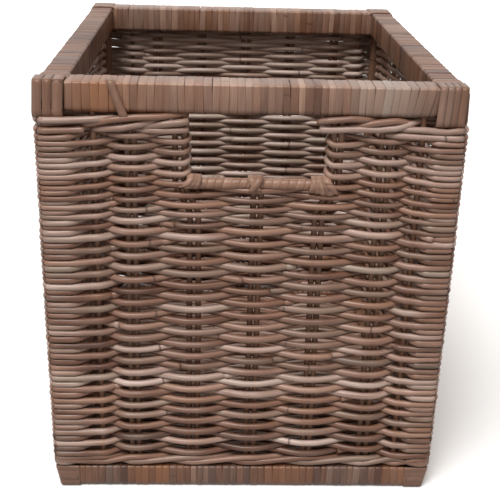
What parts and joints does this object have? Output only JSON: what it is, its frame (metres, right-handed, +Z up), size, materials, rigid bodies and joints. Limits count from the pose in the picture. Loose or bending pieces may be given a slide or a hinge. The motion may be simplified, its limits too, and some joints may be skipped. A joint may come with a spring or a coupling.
{
  "type": "rattan storage basket",
  "caption": "Rectangular open basket of woven rattan with wrapped top and bottom rails and a hand hole with a bound bar in the front wall.",
  "frame": {"origin": "on the ground under the middle of the basket", "axes": "+Z up, -Y the side of the hand hole, +X to the right seen from that side"},
  "size_m": [0.32, 0.39, 0.35],
  "materials": {
    "rail_core": "matte",
    "rattan_peel": "satin",
    "rattan_rod": "matte",
    "rattan_strand": "satin"
  },
  "bodies": {
    "root": {"top_rail_core_front": "rail_core", "top_rail_core_right": "rail_core", "top_rail_core_back": "rail_core", "top_rail_core_left": "rail_core", "bottom_rail_core_front": "rail_core", "bottom_rail_core_right": "rail_core", "bottom_rail_core_back": "rail_core", "bottom_rail_core_left": "rail_core", "top_rail_wrap_front": "rattan_peel", "top_rail_wrap_right": "rattan_peel", "top_rail_wrap_back": "rattan_peel", "top_rail_wrap_left": "rattan_peel", "bottom_rail_wrap_front": "rattan_peel", "bottom_rail_wrap_right": "rattan_peel", "bottom_rail_wrap_back": "rattan_peel", "bottom_rail_wrap_left": "rattan_peel", "handle_bar_wrap": "rattan_peel", "handle_bar": "rattan_rod", "corner_post_front_left": "rattan_rod", "corner_post_front_right": "rattan_rod", "corner_post_back_left": "rattan_rod", "corner_post_back_right": "rattan_rod", "base_rib_left": "rattan_rod", "base_rib_middle": "rattan_rod", "base_rib_right": "rattan_rod", "stake_front_single_left": "rattan_rod", "stake_front_pair_1": "rattan_rod", "stake_front_pair_2": "rattan_rod", "stake_front_pair_3": "rattan_rod", "stake_front_pair_4": "rattan_rod", "stake_front_pair_5": "rattan_rod", "stake_front_single_right": "rattan_rod", "stake_right_single_left": "rattan_rod", "stake_right_pair_1": "rattan_rod", "stake_right_pair_2": "rattan_rod", "stake_right_pair_3": "rattan_rod", "stake_right_pair_4": "rattan_rod", "stake_right_pair_5": "rattan_rod", "stake_right_pair_6": "rattan_rod", "stake_right_single_right": "rattan_rod", "stake_back_single_left": "rattan_rod", "stake_back_pair_1": "rattan_rod", "stake_back_pair_2": "rattan_rod", "stake_back_pair_3": "rattan_rod", "stake_back_pair_4": "rattan_rod", "stake_back_pair_5": "rattan_rod", "stake_back_single_right": "rattan_rod", "stake_left_single_left": "rattan_rod", "stake_left_pair_1": "rattan_rod", "stake_left_pair_2": "rattan_rod", "stake_left_pair_3": "rattan_rod", "stake_left_pair_4": "rattan_rod", "stake_left_pair_5": "rattan_rod", "stake_left_pair_6": "rattan_rod", "stake_left_single_right": "rattan_rod", "weave_front": "rattan_strand", "weave_right": "rattan_strand", "weave_back": "rattan_strand", "weave_left": "rattan_strand", "weave_base": "rattan_strand"}
  },
  "joints": []
}
